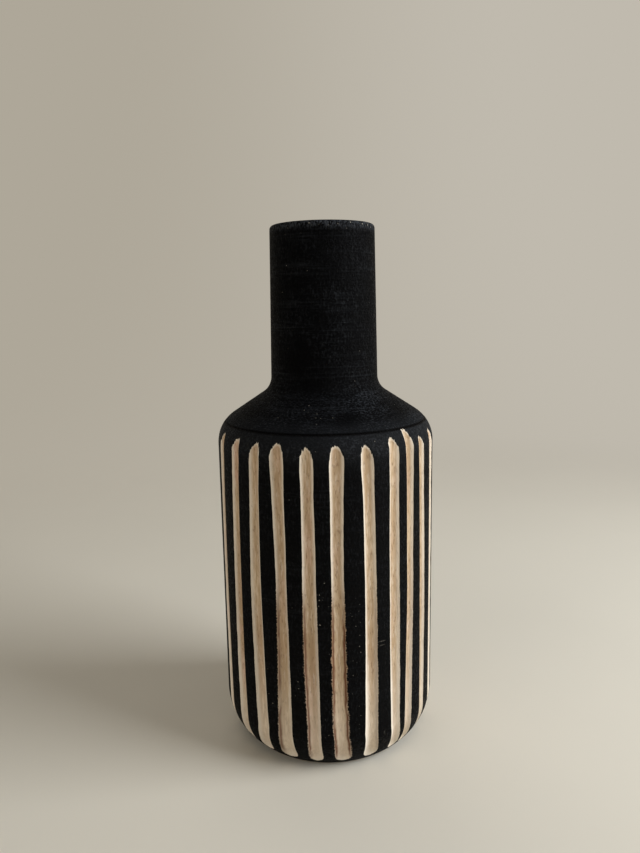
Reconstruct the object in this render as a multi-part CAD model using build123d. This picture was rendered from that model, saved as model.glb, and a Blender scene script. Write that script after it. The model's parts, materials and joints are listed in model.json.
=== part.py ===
from build123d import *
import os
from math import asin, atan2, cos, degrees, sin, sqrt

# Turned wooden bottle vase: a fluted barrel, a neck glued into it and a disc that closes the foot.
# Millimetres, +Z up, origin at the centre of the foot on the surface it stands on. The front faces -Y.

# Outside of the turning
BARREL_RADIUS = 62.9
BARREL_HEIGHT = 188.8  # floor to the corner where side and shoulder would meet unrounded
SHOULDER_RISE = 20.8  # that corner to the root of the neck
NECK_LENGTH = 90.4  # root of the neck to the rim
NECK_ROOT_RADIUS = 31.1
NECK_TOP_RADIUS = 29.7
SHOULDER_ROUND = 20.0
COVE_ROUND = 10.9
RIM_ROUND = 2.2
FOOT_INSET = 12.8  # how far the foot draws in below the side
FOOT_RISE = 26.5  # height over which it does so
FOOT_EDGE_ROUND = 1.2

# Inside of the turning
MOUTH_RADIUS = 18.0
LIP_ROUND = 3.5
BARREL_WALL = 11.4
FLOOR_ROUND = 8.0

# Joint between neck and barrel
PARTING_RISE = 1.5  # above the corner of side and shoulder
PARTING_EASE = 0.4  # broken edge that shows as a line round the shoulder
SPIGOT_LENGTH = 12.0

# Base disc and the rebate that it is glued into
FOOT_RING_WIDTH = 10.0
LEDGE_WIDTH = 4.0
LEDGE_THICKNESS = 5.0
DISC_THICKNESS = 8.0
DISC_RECESS = 1.0  # the disc stays clear of the surface below
DISC_EASE = 0.6

# Flutes, cut with one round gouge
GOUGE_RADIUS = 5.0
FLUTE_WIDTH = 7.0
FLUTE_DRIFT = 2.0  # sideways wander from the top of a flute to its foot
FLUTE_END_HEIGHT = 4.0  # floor to the lower tip
FLUTE_FOOT_BITE = 1.5  # how much tighter than the foot the gouge turns, which cuts deeper there
FIRST_FLUTE_ANGLE = -158.5  # degrees from +X, at half height

# Hand-cut spread: gap to the next flute, width and drift, each as a share of the even value
FLUTE_STEP_SHARES = (
    1.16, 1.06, 1.02, 1.06, 0.99, 1.15, 1.03, 0.76, 0.88, 1.00, 1.02, 0.95, 1.04,
    0.98, 0.91, 1.03, 1.06, 0.96, 0.99, 1.03, 0.93, 1.01, 0.97, 1.02, 0.94, 1.06,
)
FLUTE_WIDTH_SHARES = (
    0.93, 1.01, 1.06, 1.02, 1.01, 1.02, 1.00, 0.96, 0.83, 0.86, 0.97, 0.96, 1.05,
    0.94, 1.02, 1.07, 0.98, 0.93, 1.04, 1.00, 0.95, 1.06, 0.97, 1.03, 0.94, 1.01,
)
FLUTE_DRIFT_SHARES = (
    0.3, 0.0, 0.7, 0.5, 1.0, 0.6, 0.7, 0.7, -0.7, 1.3, 0.8, 0.4, -0.3,
    0.6, 1.0, -0.6, 0.2, 0.7, -0.4, 0.5, 1.1, -0.2, 0.3, -0.7, 0.4, 0.1,
)

# Fit of glued faces, and how far cutting tools run past the wood
GLUE_GAP = 0.15
OVERRUN = 5.0

# Heights and radii that follow from these
NECK_ROOT_HEIGHT = BARREL_HEIGHT + SHOULDER_RISE
RIM_HEIGHT = NECK_ROOT_HEIGHT + NECK_LENGTH
PARTING_HEIGHT = BARREL_HEIGHT + PARTING_RISE
SPIGOT_FOOT = PARTING_HEIGHT - SPIGOT_LENGTH
BORE_RADIUS = BARREL_RADIUS - BARREL_WALL
SPIGOT_RADIUS = BORE_RADIUS - GLUE_GAP
FOOT_RADIUS = BARREL_RADIUS - FOOT_INSET
REBATE_RADIUS = FOOT_RADIUS - FOOT_RING_WIDTH
DISC_RADIUS = REBATE_RADIUS - GLUE_GAP
DISC_TOP = DISC_RECESS + DISC_THICKNESS
LEDGE_TOP = DISC_TOP + LEDGE_THICKNESS
FOOT_ROUND = (FOOT_INSET**2 + FOOT_RISE**2) / (2 * FOOT_INSET)
FOOT_CENTRE = BARREL_RADIUS - FOOT_ROUND


def rounded(face, corner, radius):
    """Round one corner of a flat face."""
    nearest = face.vertices().sort_by_distance(corner)[0]
    return fillet(nearest, radius)


def turned(face):
    """Turn a half outline, drawn as radius and height, round the vase's axis."""
    return revolve(Plane.XZ * face, Axis.Z)


def turned_blank():
    """The whole outside as one turning, before it is parted and bored."""
    foot = (FOOT_RADIUS, 0)
    side = (BARREL_RADIUS, FOOT_RISE)
    shoulder = (BARREL_RADIUS, BARREL_HEIGHT)
    root = (NECK_ROOT_RADIUS, NECK_ROOT_HEIGHT)
    rim = (NECK_TOP_RADIUS, RIM_HEIGHT)
    outline = Curve() + [
        Line((0, 0), foot),
        TangentArc(side, foot, tangent=(0, -1)),
        Polyline(side, shoulder, root, rim, (0, RIM_HEIGHT)),
        Line((0, RIM_HEIGHT), (0, 0)),
    ]
    face = make_face(outline)
    face = rounded(face, shoulder, SHOULDER_ROUND)
    face = rounded(face, root, COVE_ROUND)
    face = rounded(face, rim, RIM_ROUND)
    face = rounded(face, foot, FOOT_EDGE_ROUND)
    return turned(face)


def barrel_hollow():
    """The barrel's bore, with the ledge and the rebate for the base disc."""
    opening = REBATE_RADIUS - LEDGE_WIDTH
    floor_corner = (BORE_RADIUS, LEDGE_TOP)
    face = make_face(
        Polyline(
            (0, PARTING_HEIGHT + OVERRUN),
            (BORE_RADIUS, PARTING_HEIGHT + OVERRUN),
            floor_corner,
            (opening, LEDGE_TOP),
            (opening, DISC_TOP),
            (REBATE_RADIUS, DISC_TOP),
            (REBATE_RADIUS, -OVERRUN),
            (0, -OVERRUN),
            close=True,
        )
    )
    return turned(rounded(face, floor_corner, FLOOR_ROUND))


def gouge_stroke(width, drift):
    """The wood that one stroke takes out, at +X: down the side, then round the foot to a blunt end."""
    half_turn = width / 2 / BARREL_RADIUS
    half_chord = BARREL_RADIUS * sin(half_turn)
    reach = BARREL_RADIUS * cos(half_turn) + sqrt(GOUGE_RADIUS**2 - half_chord**2)
    tool = Pos(reach, 0, FOOT_RISE) * Circle(GOUGE_RADIUS)
    straight = extrude(tool, NECK_ROOT_HEIGHT - FOOT_RISE)

    # Angles about the foot's own centre: the lower tip of the flute, then the middle of the gouge's nose.
    bend_centre = FOOT_CENTRE + FLUTE_FOOT_BITE
    bend_radius = reach - bend_centre
    tip_angle = asin((FOOT_RISE - FLUTE_END_HEIGHT) / FOOT_ROUND)
    nose_x = FLUTE_FOOT_BITE + bend_radius * cos(tip_angle)
    nose_z = bend_radius * sin(tip_angle)
    depth = FOOT_ROUND + GOUGE_RADIUS - sqrt(nose_x**2 + nose_z**2)
    nose_run = sqrt(2 * depth / (1 / GOUGE_RADIUS + 1 / FOOT_ROUND))
    nose_angle = tip_angle - nose_run / FOOT_ROUND

    # The bend turns about its own centre, a bite nearer to the side.
    bend_turn = nose_angle + asin(FLUTE_FOOT_BITE * sin(nose_angle) / bend_radius)
    bend = revolve(tool, Axis((bend_centre, 0, FOOT_RISE), (0, 1, 0)), degrees(bend_turn))
    nose_face = bend.faces().filter_by(GeomType.PLANE).sort_by(Axis.Z)[0]
    nose = Plane(nose_face) * Sphere(GOUGE_RADIUS, arc_size1=0)

    half_height = BARREL_HEIGHT / 2
    lean = degrees(atan2(drift, BARREL_HEIGHT))
    return Pos(0, 0, half_height) * Rot(lean, 0, 0) * Pos(0, 0, -half_height) * (straight + bend + nose)


def flute_cuts():
    """Every flute in its place round the barrel."""
    cuts = []
    turned_so_far = 0.0
    for step, width, drift in zip(FLUTE_STEP_SHARES, FLUTE_WIDTH_SHARES, FLUTE_DRIFT_SHARES):
        angle = FIRST_FLUTE_ANGLE + 360 * turned_so_far / sum(FLUTE_STEP_SHARES)
        cuts.append(Rot(0, 0, angle) * gouge_stroke(FLUTE_WIDTH * width, FLUTE_DRIFT * drift))
        turned_so_far += step
    return cuts


def make_neck(blank):
    """Shoulder and neck above the parting, with the spigot below it."""
    upper = split(blank, bisect_by=Plane.XY.offset(PARTING_HEIGHT), keep=Keep.TOP)
    seat_edge = upper.edges().filter_by(GeomType.CIRCLE).sort_by(Axis.Z)[0]
    upper = chamfer(seat_edge, PARTING_EASE)
    spigot = extrude(Pos(0, 0, SPIGOT_FOOT) * Circle(SPIGOT_RADIUS), SPIGOT_LENGTH)
    drill_run = RIM_HEIGHT - SPIGOT_FOOT + 2 * OVERRUN
    drill = extrude(Pos(0, 0, SPIGOT_FOOT - OVERRUN) * Circle(MOUTH_RADIUS), drill_run)
    bored = upper + spigot - drill
    lip = bored.faces().filter_by(GeomType.PLANE).sort_by(Axis.Z)[-1].edges().sort_by(SortBy.LENGTH)[0]
    return fillet(lip, LIP_ROUND)


def make_barrel(blank):
    """The bored and fluted body below the parting."""
    lower = split(blank, bisect_by=Plane.XY.offset(PARTING_HEIGHT), keep=Keep.BOTTOM)
    return lower - barrel_hollow() - flute_cuts()


def make_base_disc():
    """The disc that closes the foot, with its lower edge eased."""
    disc = extrude(Pos(0, 0, DISC_RECESS) * Circle(DISC_RADIUS), DISC_THICKNESS)
    lower_edge = disc.edges().sort_by(Axis.Z)[0]
    return chamfer(lower_edge, DISC_EASE)


def main():
    """Make every piece and write it under its own name."""
    blank = turned_blank()
    pieces = {"barrel": make_barrel(blank), "neck": make_neck(blank), "base_disc": make_base_disc()}
    os.makedirs("parts", exist_ok=True)
    for name, piece in pieces.items():
        export_step(piece, f"parts/{name}.step")


main()
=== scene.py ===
import json
from collections import namedtuple
from itertools import accumulate
from math import asin, atan2, ceil, cos, pi, radians, sin, tan

import bpy
from mathutils import Matrix, Vector


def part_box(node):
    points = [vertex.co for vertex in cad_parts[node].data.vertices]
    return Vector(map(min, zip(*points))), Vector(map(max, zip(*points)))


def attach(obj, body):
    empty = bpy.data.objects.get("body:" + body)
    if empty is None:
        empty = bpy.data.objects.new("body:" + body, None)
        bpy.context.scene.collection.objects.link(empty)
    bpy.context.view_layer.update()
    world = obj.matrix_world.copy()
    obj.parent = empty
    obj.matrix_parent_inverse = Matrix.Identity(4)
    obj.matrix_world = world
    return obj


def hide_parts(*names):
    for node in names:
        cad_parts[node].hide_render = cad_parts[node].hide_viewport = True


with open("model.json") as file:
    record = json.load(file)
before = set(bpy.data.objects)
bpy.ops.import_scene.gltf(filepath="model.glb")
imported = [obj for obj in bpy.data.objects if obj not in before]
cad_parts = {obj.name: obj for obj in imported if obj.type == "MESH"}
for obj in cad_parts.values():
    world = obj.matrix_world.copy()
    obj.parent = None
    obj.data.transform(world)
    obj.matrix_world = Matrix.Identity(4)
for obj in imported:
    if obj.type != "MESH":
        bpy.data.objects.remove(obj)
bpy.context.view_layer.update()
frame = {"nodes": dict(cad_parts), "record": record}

bl_info = {
    "name": "Fluted Bottle Vase",
    "version": (1, 0, 0),
    "blender": (4, 5, 0),
    "location": "View3D > Sidebar > Vase",
    "description": "Dresses a turned wooden bottle vase: gouged barrel, turned neck and base disc",
    "category": "Object",
}

# Metres, +Z up along the turning axis, the front faces -Y.

MM = 0.001

# Places that the frame holds
PARTING_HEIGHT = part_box("barrel")[1].z
SPIGOT_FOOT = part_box("neck")[0].z
RIM_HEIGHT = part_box("neck")[1].z
DISC_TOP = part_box("base_disc")[1].z
MOUTH_RADIUS = next(m["dims"]["r_mm"] for m in frame["record"]["mounts"] if m["name"] == "mouth") * MM

# Flutes in order round the barrel, each value a share of the even or full one.
# Gap to the next flute, width, lean and sideways bow, then how the width changes: narrowing at half height,
# widening from top to foot. At the upper tip: its lift, and how far it runs out to one side.
# At the foot: a slip to one side.
STEP_SHARES = (
    1.16, 1.06, 1.02, 1.06, 0.99, 1.15, 1.03, 0.76, 0.88, 1.00, 1.02, 0.95, 1.04,
    0.98, 0.91, 1.03, 1.06, 0.96, 0.99, 1.03, 0.93, 1.01, 0.97, 1.02, 0.94, 1.06,
)
WIDTH_SHARES = (
    0.93, 1.01, 1.06, 1.02, 1.01, 1.02, 1.00, 0.96, 0.83, 0.86, 0.97, 0.96, 1.05,
    0.94, 1.02, 1.07, 0.98, 0.93, 1.04, 1.00, 0.95, 1.06, 0.97, 1.03, 0.94, 1.01,
)
DRIFT_SHARES = (
    0.3, 0.0, 0.7, 0.5, 1.0, 0.6, 0.7, 0.7, -0.7, 1.3, 0.8, 0.4, -0.3,
    0.6, 1.0, -0.6, 0.2, 0.7, -0.4, 0.5, 1.1, -0.2, 0.3, -0.7, 0.4, 0.1,
)
BOW_SHARES = (
    -1.0, -0.9, -1.0, 0.4, -0.2, -0.4, 0.5, -0.1, 0.5, 0.6, 0.3, -0.2, 0.4,
    -0.5, 0.2, 0.6, -0.3, 0.1, -0.6, 0.3, 0.5, -0.4, 0.0, 0.6, -0.2, 0.3,
)
PINCH_SHARES = (
    0.0, -0.2, -0.6, 1.6, -0.8, 0.8, 0.2, -0.8, 0.7, -1.2, 0.2, 0.5, -0.2,
    0.3, 0.8, 0.0, 0.4, -0.3, 0.6, 0.1, 0.9, 0.2, -0.4, 0.5, 0.0, 0.3,
)
TAPER_SHARES = (
    0.5, 1.1, 1.3, 0.9, 0.3, 0.8, 1.0, 0.2, 0.1, 0.1, 0.5, 0.7, 0.2,
    0.6, 0.4, 0.9, 0.5, 0.8, 0.3, 0.7, 1.0, 0.4, 0.6, 0.8, 0.5, 0.7,
)
TIP_SHARES = (
    0.3, 0.2, 0.0, 0.1, -0.2, -0.1, -0.2, 0.4, 1.0, -0.1, 0.2, 0.5, -0.3,
    0.1, 0.6, -0.1, 0.3, 0.0, 0.8, -0.2, 0.2, 0.4, -0.3, 0.1, 0.7, 0.0,
)
LEAN_SHARES = (
    0.5, 0.8, 0.7, 0.4, -0.2, -0.5, -0.7, -0.9, -1.1, -0.6, -0.4, 0.3, 0.6,
    -0.3, 0.5, 0.1, -0.7, 0.4, -0.2, 0.8, -0.5, 0.2, 0.6, -0.4, 0.3, 0.4,
)
SLIP_SHARES = (
    -0.3, -0.8, -1.2, 0.1, 0.0, 0.5, 0.8, 1.0, 0.9, 0.6, 0.5, 0.6, -0.4,
    0.3, 0.8, -0.6, 0.1, -0.3, 0.6, -0.8, 0.2, 0.4, -0.5, 0.7, -0.1, 0.2,
)
# Pinkness of the wood, then the left and right walls: how far the gouge burnished them brown,
# or below 0 how strongly pale fibres and a painted highlight lighten the wall low down, for light from the
# right.
PINK_SHARES = (
    0.9, 1.0, 0.2, 0.3, 0.5, 0.3, 0.1, 0.3, 0.3, 0.1, 0.5, 0.2, 0.6,
    0.0, 0.8, 0.3, 0.1, 0.5, 0.9, 0.2, 0.0, 0.4, 0.7, 0.3, 0.1, 0.6,
)
LEFT_BURNISH_AND_HIGHLIGHT_SHARES = (
    0.0, 0.1, 0.1, 0.8, 0.9, 1.0, -0.7, -1.0, -1.0, -0.5, 0.2, 0.5, 0.1,
    0.7, -0.6, 0.3, 0.8, 0.1, -0.4, 0.6, 0.2, -0.8, 0.5, 0.9, 0.1, 0.3,
)
RIGHT_BURNISH_SHARES = (
    0.0, 0.0, 0.1, 0.2, 0.2, 1.0, 0.4, 0.1, 0.2, 0.1, 0.0, 0.3, 0.7,
    0.1, 0.5, 0.0, 0.2, 0.8, 0.3, 0.1, 0.0, 0.6, 0.2, 0.1, 0.4, 0.0,
)

# Columns of the barrel's mesh: from the middle of a flute to its edge, and from there over the ridge
FLANK_COLUMNS = 5
RIDGE_COLUMNS = 6
SECTOR_COLUMNS = 2 * FLANK_COLUMNS + RIDGE_COLUMNS
NECK_COLUMNS = 160

# Spacing of the meshes' rows
TIP_SPACING = 0.5 * MM
SIDE_SPACING = 1.25 * MM
FOOT_SPACING = 0.7 * MM
EDGE_SPACING = 0.3 * MM
NECK_SPACING = 0.8 * MM
BORE_SPACING = 4 * MM
INSIDE_SPACING = 12 * MM

MERGE_DISTANCE = 0.001 * MM
UNCUT = -10 * MM  # stands for no cut at all
LEAST_RIDGE = 0.6 * MM

# Wander of the gouge: cells for each metre of height, and the step in them from one flute to the next
SWAY_SCALE = 14.0
WAVER_SCALE = 25.0
TEAR_SCALE = 150.0
CHATTER_SCALE = 160.0
FLUTE_STEP = 7.3

# Upper end of a flute: the swell below it, and how the section changes where the gouge runs out
SWELL_DROP = 4 * MM
SWELL_REACH = 14 * MM
TIP_BLEND = (-3 * MM, 5 * MM)
LEAST_TIP_SHARE = 0.1

# Share of the barrel's height at which torn edges stop, and how fast the lower end closes
TEAR_TOP_SHARE = 0.62
END_POWER = 2.5

# Averages of a bulge that is 1 at half height and 0 at both ends, and of its square
MEAN_BULGE = 2 / 3
MEAN_SQUARE_BULGE = 8 / 15

# Heights between which a finish on the barrel fades; low down the wood is painted lighter, on the shoulder a
# sheen
BURNISH_START = (3 * MM, 13 * MM)
FLUTE_END_LIGHT = (5 * MM, 14 * MM)
FOOT_BOUNCE_LIGHT = (6 * MM, 75 * MM)
LIT_WALL_TOP = (35 * MM, 75 * MM)
LIT_EDGE_TOP = (45 * MM, 110 * MM)
BURNISH_TOP = (85 * MM, 120 * MM)
SHOULDER_SHEEN_BAND = (168 * MM, 186 * MM)
SHOULDER_START = (177 * MM, 180 * MM)
# The same from the joint, for its band of painted sheen, the top of the cone and the rim, and across the rim
# from its outer radius
BARREL_JOINT = (-1 * MM, 0.0)
NECK_JOINT = (0.5 * MM, 1.2 * MM)
NECK_SHEEN_BAND = (1 * MM, 8 * MM)
CONE_END = (-6 * MM, 6 * MM)
RIM_START = (-6 * MM, -1 * MM)
RIM_EDGE = (-5 * MM, -2 * MM)

# Depths of a cut at which the stain goes and at which thin wood stops being pale, and how far edges fray
BARE_CUT = (0.0, 0.12 * MM)
THIN_CUT = (0.1 * MM, 0.7 * MM)
FRAY_DEPTH = 1 * MM
CHIP_DEPTH = 0.9 * MM

# Textures that run along the grain: how they are squeezed along Z, cells for each metre, and detail
BANDS = (0.10, 210.0, 3.0)
FIBRES = (0.15, 1000.0, 4.0)
PORES = (0.30, 1150.0, 2.0)
PINK_STREAKS = (0.40, 70.0, 2.0)
FRAYED_EDGE = (0.08, 1500.0, 2.0)
BURNISHED_EDGE = (0.30, 420.0, 3.0)
BURNISHED_SPOTS = (0.20, 300.0, 3.0)
STAIN_STREAKS = (0.45, 1000.0, 3.0)
RIM_WEAR = (0.50, 1100.0, 3.0)

# Textures of the stain, of raw wood, of the tool's ripple and of the floor: cells for each metre
TOOL_MARKS = 900.0
TOOL_SWEEPS = 170.0
BRUSHED = 1100.0
CLOUDS = 55.0
CHIPS = 1500.0
SCUFFED = 800.0
STAIN_BORDER = 300.0
RAW_CLOUDS = 140.0
RIPPLES = 240.0
FLOOR_CLOUDS = 6.0

# How textures that run round the axis are squeezed along X and Y, and the ring in the ripple's noise
LATHE_SQUEEZE = 0.04
BRUSH_SQUEEZE = 0.7
RIPPLE_RING = 4 * MM

# Growth rings of the disc: how they are squeezed along X, cells for each metre, and rings in the noise
GROWTH_RINGS = (0.12, 130.0, 9)

# Specks: cells for each metre, their size in a cell, and the share of cells that have one
STAIN_SPECKS = (360.0, 0.085, 0.06)
RIDGE_DUST = (480.0, 0.11, 0.6)
CONE_DUST = (480.0, 0.12, 0.45)
RIM_SPECKS = (600.0, 0.25, 0.4)

# Scuffs and dusty places on the ridges: angle from the front, height, half the width and half the height
SCUFFS = (
    (26.5, 76.5 * MM, 5.0 * MM, 0.5 * MM),
    (26.0, 74.2 * MM, 5.5 * MM, 0.5 * MM),
    (36.0, 75.0 * MM, 2.5 * MM, 0.5 * MM),
    (28.5, 21.0 * MM, 0.9 * MM, 3.2 * MM),
)
DUSTY = (
    (13.0, 66 * MM, 8 * MM, 50 * MM),
    (-1.5, 30 * MM, 6 * MM, 8 * MM),
    (-3.0, 98 * MM, 5 * MM, 26 * MM),
    (-16.5, 48 * MM, 4 * MM, 30 * MM),
    (-31.0, 50 * MM, 4 * MM, 22 * MM),
)
# The same on the shoulder's cone, with the radius there; the first is a painted highlight on the cone's lit
# right side
LIT_CONE_PATCH = (38.0, 203 * MM, 22 * MM, 9 * MM, 44 * MM)
DUSTY_CONE = (-4.0, 200 * MM, 17 * MM, 12 * MM, 46 * MM)

BARE_ROUGHNESS = 0.8
FLOOR_ROUGHNESS = 0.9
SENSOR_SIDE = 36  # millimetres

# Lamps: place, side of the square, and whether they show in glossy surfaces
LAMPS = {
    "key": ((1.10, -0.30, 0.70), 0.8, True),
    "fill": ((-0.92, -0.84, 0.55), 0.9, False),
    "back": ((-0.30, 1.05, 0.90), 0.9, False),
}

# Stage: rings of the flat floor and of the bowl round it, points in a ring, how far out the backdrop's
# two tones lie, and the distances over which the floor passes into the backdrop
FLOOR_RINGS = 8
BOWL_RINGS = 48
RING_POINTS = 96
# The backdrop's two tones are painted light: lighter on the key lamp's side
BACKDROP_REACH = 0.8
FLOOR_FADE = (0.35, 1.0)
FLOOR_SHADE = 0.94  # of the floor's darker clouds


def screen_colour(red, green, blue):
    """A colour as it is seen on a screen, from 0 to 255, in Blender's own terms."""
    shares = [channel / 255 for channel in (red, green, blue)]
    return tuple(s / 12.92 if s <= 0.04045 else ((s + 0.055) / 1.055) ** 2.4 for s in shares)


# Properties that a user would change


def length(label, description, default):
    """A length property in metres."""
    return bpy.props.FloatProperty(
        name=label, description=description, default=default, min=0.0, unit="LENGTH", precision=4
    )


def share(label, description, default):
    """A plain factor."""
    return bpy.props.FloatProperty(name=label, description=description, default=default, subtype="FACTOR")


def turn(label, description, degrees):
    """An angle property, given in degrees."""
    return bpy.props.FloatProperty(
        name=label, description=description, default=radians(degrees), subtype="ANGLE", unit="ROTATION"
    )


def watts(label, description, default):
    """A lamp's power in watts."""
    return bpy.props.FloatProperty(name=label, description=description, default=default, unit="POWER")


def colour(label, description, default):
    """A colour property."""
    return bpy.props.FloatVectorProperty(
        name=label, description=description, default=default, size=3, subtype="COLOR", min=0.0, max=1.0
    )


class VaseTurning(bpy.types.PropertyGroup):
    """Sizes of the turned outline."""

    barrel_radius: length("Barrel radius", "Radius of the ridges between the flutes", 62.9 * MM)
    barrel_height: length("Barrel height", "Floor to the corner of side and shoulder", 188.8 * MM)
    shoulder_rise: length("Shoulder rise", "That corner to the root of the neck", 20.8 * MM)
    shoulder_round: length("Shoulder rounding", "Radius between side and shoulder", 20 * MM)
    neck_root_radius: length("Neck root radius", "Radius of the neck at the shoulder", 31.1 * MM)
    neck_top_radius: length("Neck top radius", "Radius of the neck at the rim", 29.7 * MM)
    cove_round: length("Cove", "Radius between shoulder and neck", 10.9 * MM)
    rim_round: length("Rim rounding", "Radius of the rim's outer edge", 2.2 * MM)
    lip_round: length("Lip rounding", "Radius of the mouth's edge", 3.5 * MM)
    foot_inset: length("Foot inset", "How far the foot draws in below the side", 12.8 * MM)
    foot_rise: length("Foot rise", "Height over which the foot draws in", 26.5 * MM)
    foot_edge_round: length("Foot edge", "Rounding of the edge that stands on the table", 1.2 * MM)
    wall: length("Wall", "Thickness of the barrel's wall", 11.4 * MM)
    floor_round: length("Floor rounding", "Radius inside, between wall and floor", 8 * MM)
    ring_width: length("Foot ring", "Width of the ring round the base disc", 10 * MM)
    ledge_width: length("Ledge width", "How far the disc's seat reaches in", 4 * MM)
    ledge_thickness: length("Ledge thickness", "Thickness of the disc's seat", 5 * MM)
    parting_ease: length("Parting ease", "Broken edge at the joint of neck and barrel", 0.4 * MM)
    glue_gap: length("Glue gap", "Room for glue round the spigot", 0.15 * MM)
    ripple: length("Tool ripple", "Waviness that the turning tool leaves", 0.07 * MM)


class VaseFlutes(bpy.types.PropertyGroup):
    """Sizes of the gouged flutes."""

    first_angle: turn("First flute", "Angle of the first flute from +X, at half height", -158.5)
    width: length("Width", "Width of an even flute", 7.0 * MM)
    depth: length("Depth", "Depth of an even flute", 1.6 * MM)
    steepness: share("Wall steepness", "Power of the section: 2 is a plain bowl, more is squarer", 2.4)
    drift: length("Lean", "Sideways lean from top to foot", 2.0 * MM)
    bow: length("Bow", "Sideways bow at half height", 2.7 * MM)
    pinch: share("Pinch", "Narrowing at half height", 0.16)
    taper: share("Taper", "Widening from top to foot", 0.10)
    tip_lift: length("Tip lift", "How much higher the tallest flute runs out", 3.5 * MM)
    tip_steepness: share("Tip steepness", "Power of the section where the gouge runs out at the top", 1.8)
    tip_lean: share("Tip lean", "How far to one side the upper tips run out", 0.9)
    swell: share("Swell", "Widening just below the upper tip", 0.10)
    flare: share("Flare", "Widening at the foot", 0.3)
    flare_rise: length("Flare rise", "Height over which the flutes flare and slip", 24 * MM)
    slip: length("Slip", "How far a flute strays to one side at the foot", 4.0 * MM)
    end_height: length("End height", "Floor to the lower end of the flutes", 4.6 * MM)
    end_run: length("End run", "Length over which the lower end closes", 8.0 * MM)
    sway: length("Sway", "Slow wander of the gouge", 0.4 * MM)
    waver: length("Waver", "Unevenness of the edges", 0.35 * MM)
    tear: length("Tear", "Torn fibres along burnished edges", 0.7 * MM)
    chatter: length("Chatter", "Unevenness of the flutes' floor", 0.12 * MM)


class VaseFinish(bpy.types.PropertyGroup):
    """Colours of the stain and of the bare wood."""

    stain: colour("Stain", "Black stain", screen_colour(5, 5, 6))
    # Also painted sheen on the shoulder's rounding and on the band above the joint
    worn_stain_and_sheen: colour("Worn stain", "Stain where grain or tool marks show", screen_colour(56, 59, 64))
    dust: colour("Dust", "Specks of wood dust and scuffs", screen_colour(190, 184, 172))
    wood: colour("Wood", "Bare wood in the flutes", screen_colour(212, 189, 160))
    deep_wood: colour("Deep wood", "Darker bands of the grain", screen_colour(182, 155, 124))
    # Also painted light on the flutes' ends, edges and foot
    pale_wood_and_light: colour("Pale wood", "Fresh wood along the flutes' edges", screen_colour(233, 221, 204))
    # Also a painted highlight on the lit left walls of some flutes, low down
    edge_fibres_and_highlight: colour("Edge fibres", "Raised fibres on the edges", screen_colour(252, 243, 229))
    pink_wood: colour("Pink wood", "Pinkish streaks", screen_colour(208, 168, 147))
    pores: colour("Pores", "Dark pores in the grain", screen_colour(128, 98, 70))
    burnish: colour("Burnish", "Brown line where the gouge rubbed", screen_colour(108, 71, 50))
    inside: colour("Inside", "Unfinished wood inside", screen_colour(142, 112, 82))


class VaseStage(bpy.types.PropertyGroup):
    """Camera, lamps and floor."""

    distance: length("Distance", "Camera to the turning axis", 404.7 * MM)
    height: length("Height", "Camera above the floor", 255.55 * MM)
    offset: length("Offset", "Camera to the left of the axis", 3.03 * MM)
    pitch: turn("Pitch", "Tilt below the horizon", 9.909)
    roll: turn("Roll", "Turn about the view axis", 0.991)
    focal: bpy.props.FloatProperty(
        name="Focal length", description=f"For a long side of {SENSOR_SIDE} mm", default=29.26
    )
    key_power: watts("Key", "Lamp on the right", 17.5)
    fill_power: watts("Fill", "Lamp on the left", 2.7)
    back_power: watts("Back", "Lamp behind", 2.5)
    ambient: share("Ambient", "Light from all round", 0.19)
    daylight: colour("Daylight", "Tint of the key lamp", (0.95, 0.98, 1.0))
    warmth: colour("Warmth", "Tint of the fill lamp and of the light from all round", (1.0, 0.96, 0.89))
    floor: colour("Floor", "Pale floor", screen_colour(229, 223, 210))
    light_side: colour("Light side", "Backdrop on the side of the key lamp", screen_colour(192, 186, 174))
    dark_side: colour("Dark side", "Backdrop on the other side", screen_colour(174, 167, 153))
    floor_radius: length("Floor radius", "Flat part of the floor", 0.9)
    bowl_rise: length("Bowl rise", "How far the backdrop curves up round the floor", 1.6)


# Nodes written as sums


class Value:
    """One output of a node. Sums of values become Math nodes in the same tree."""

    def __init__(self, socket):
        self.socket = socket

    @property
    def tree(self):
        return self.socket.id_data

    def math(self, operation, *others):
        return result(self.tree, "ShaderNodeMath", dict(enumerate((self, *others))), operation=operation)

    def __add__(self, other):
        return self.math("ADD", other)

    def __sub__(self, other):
        return self.math("SUBTRACT", other)

    def __mul__(self, other):
        return self.math("MULTIPLY", other)

    def __truediv__(self, other):
        return self.math("DIVIDE", other)

    def __pow__(self, other):
        return self.math("POWER", other)

    def __neg__(self):
        return self.math("MULTIPLY", -1.0)

    def __rsub__(self, other):
        return -self + other

    def __rtruediv__(self, other):
        return self**-1.0 * other

    __radd__ = __add__
    __rmul__ = __mul__

    def at_least(self, other):
        return self.math("MAXIMUM", other)

    def at_most(self, other):
        return self.math("MINIMUM", other)

    def clamped(self):
        return self.at_least(0.0).at_most(1.0)

    def xyz(self):
        made = node(self.tree, "ShaderNodeSeparateXYZ", {"Vector": self})
        return [Value(socket) for socket in made.outputs]

    def eased(self, low, high):
        """0 below low and 1 above high, with a smooth step between them."""
        feeds = {"Value": self, "From Min": low, "From Max": high}
        return result(self.tree, "ShaderNodeMapRange", feeds, "Result", interpolation_type="SMOOTHSTEP")


def plug(source, socket):
    """Feed a socket from a value, or set it to a plain number."""
    if isinstance(source, Value):
        socket.id_data.links.new(source.socket, socket)
    else:
        socket.default_value = source


def node(tree, kind, feeds=None, **settings):
    """Add a node, set it and feed its inputs by name or number."""
    made = tree.nodes.new(kind)
    for name, setting in settings.items():
        setattr(made, name, setting)
    for name, source in (feeds or {}).items():
        plug(source, made.inputs[name])
    return made


def result(tree, kind, feeds=None, output=0, **settings):
    """One output of a new node, by name or number."""
    return Value(node(tree, kind, feeds, **settings).outputs[output])


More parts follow.
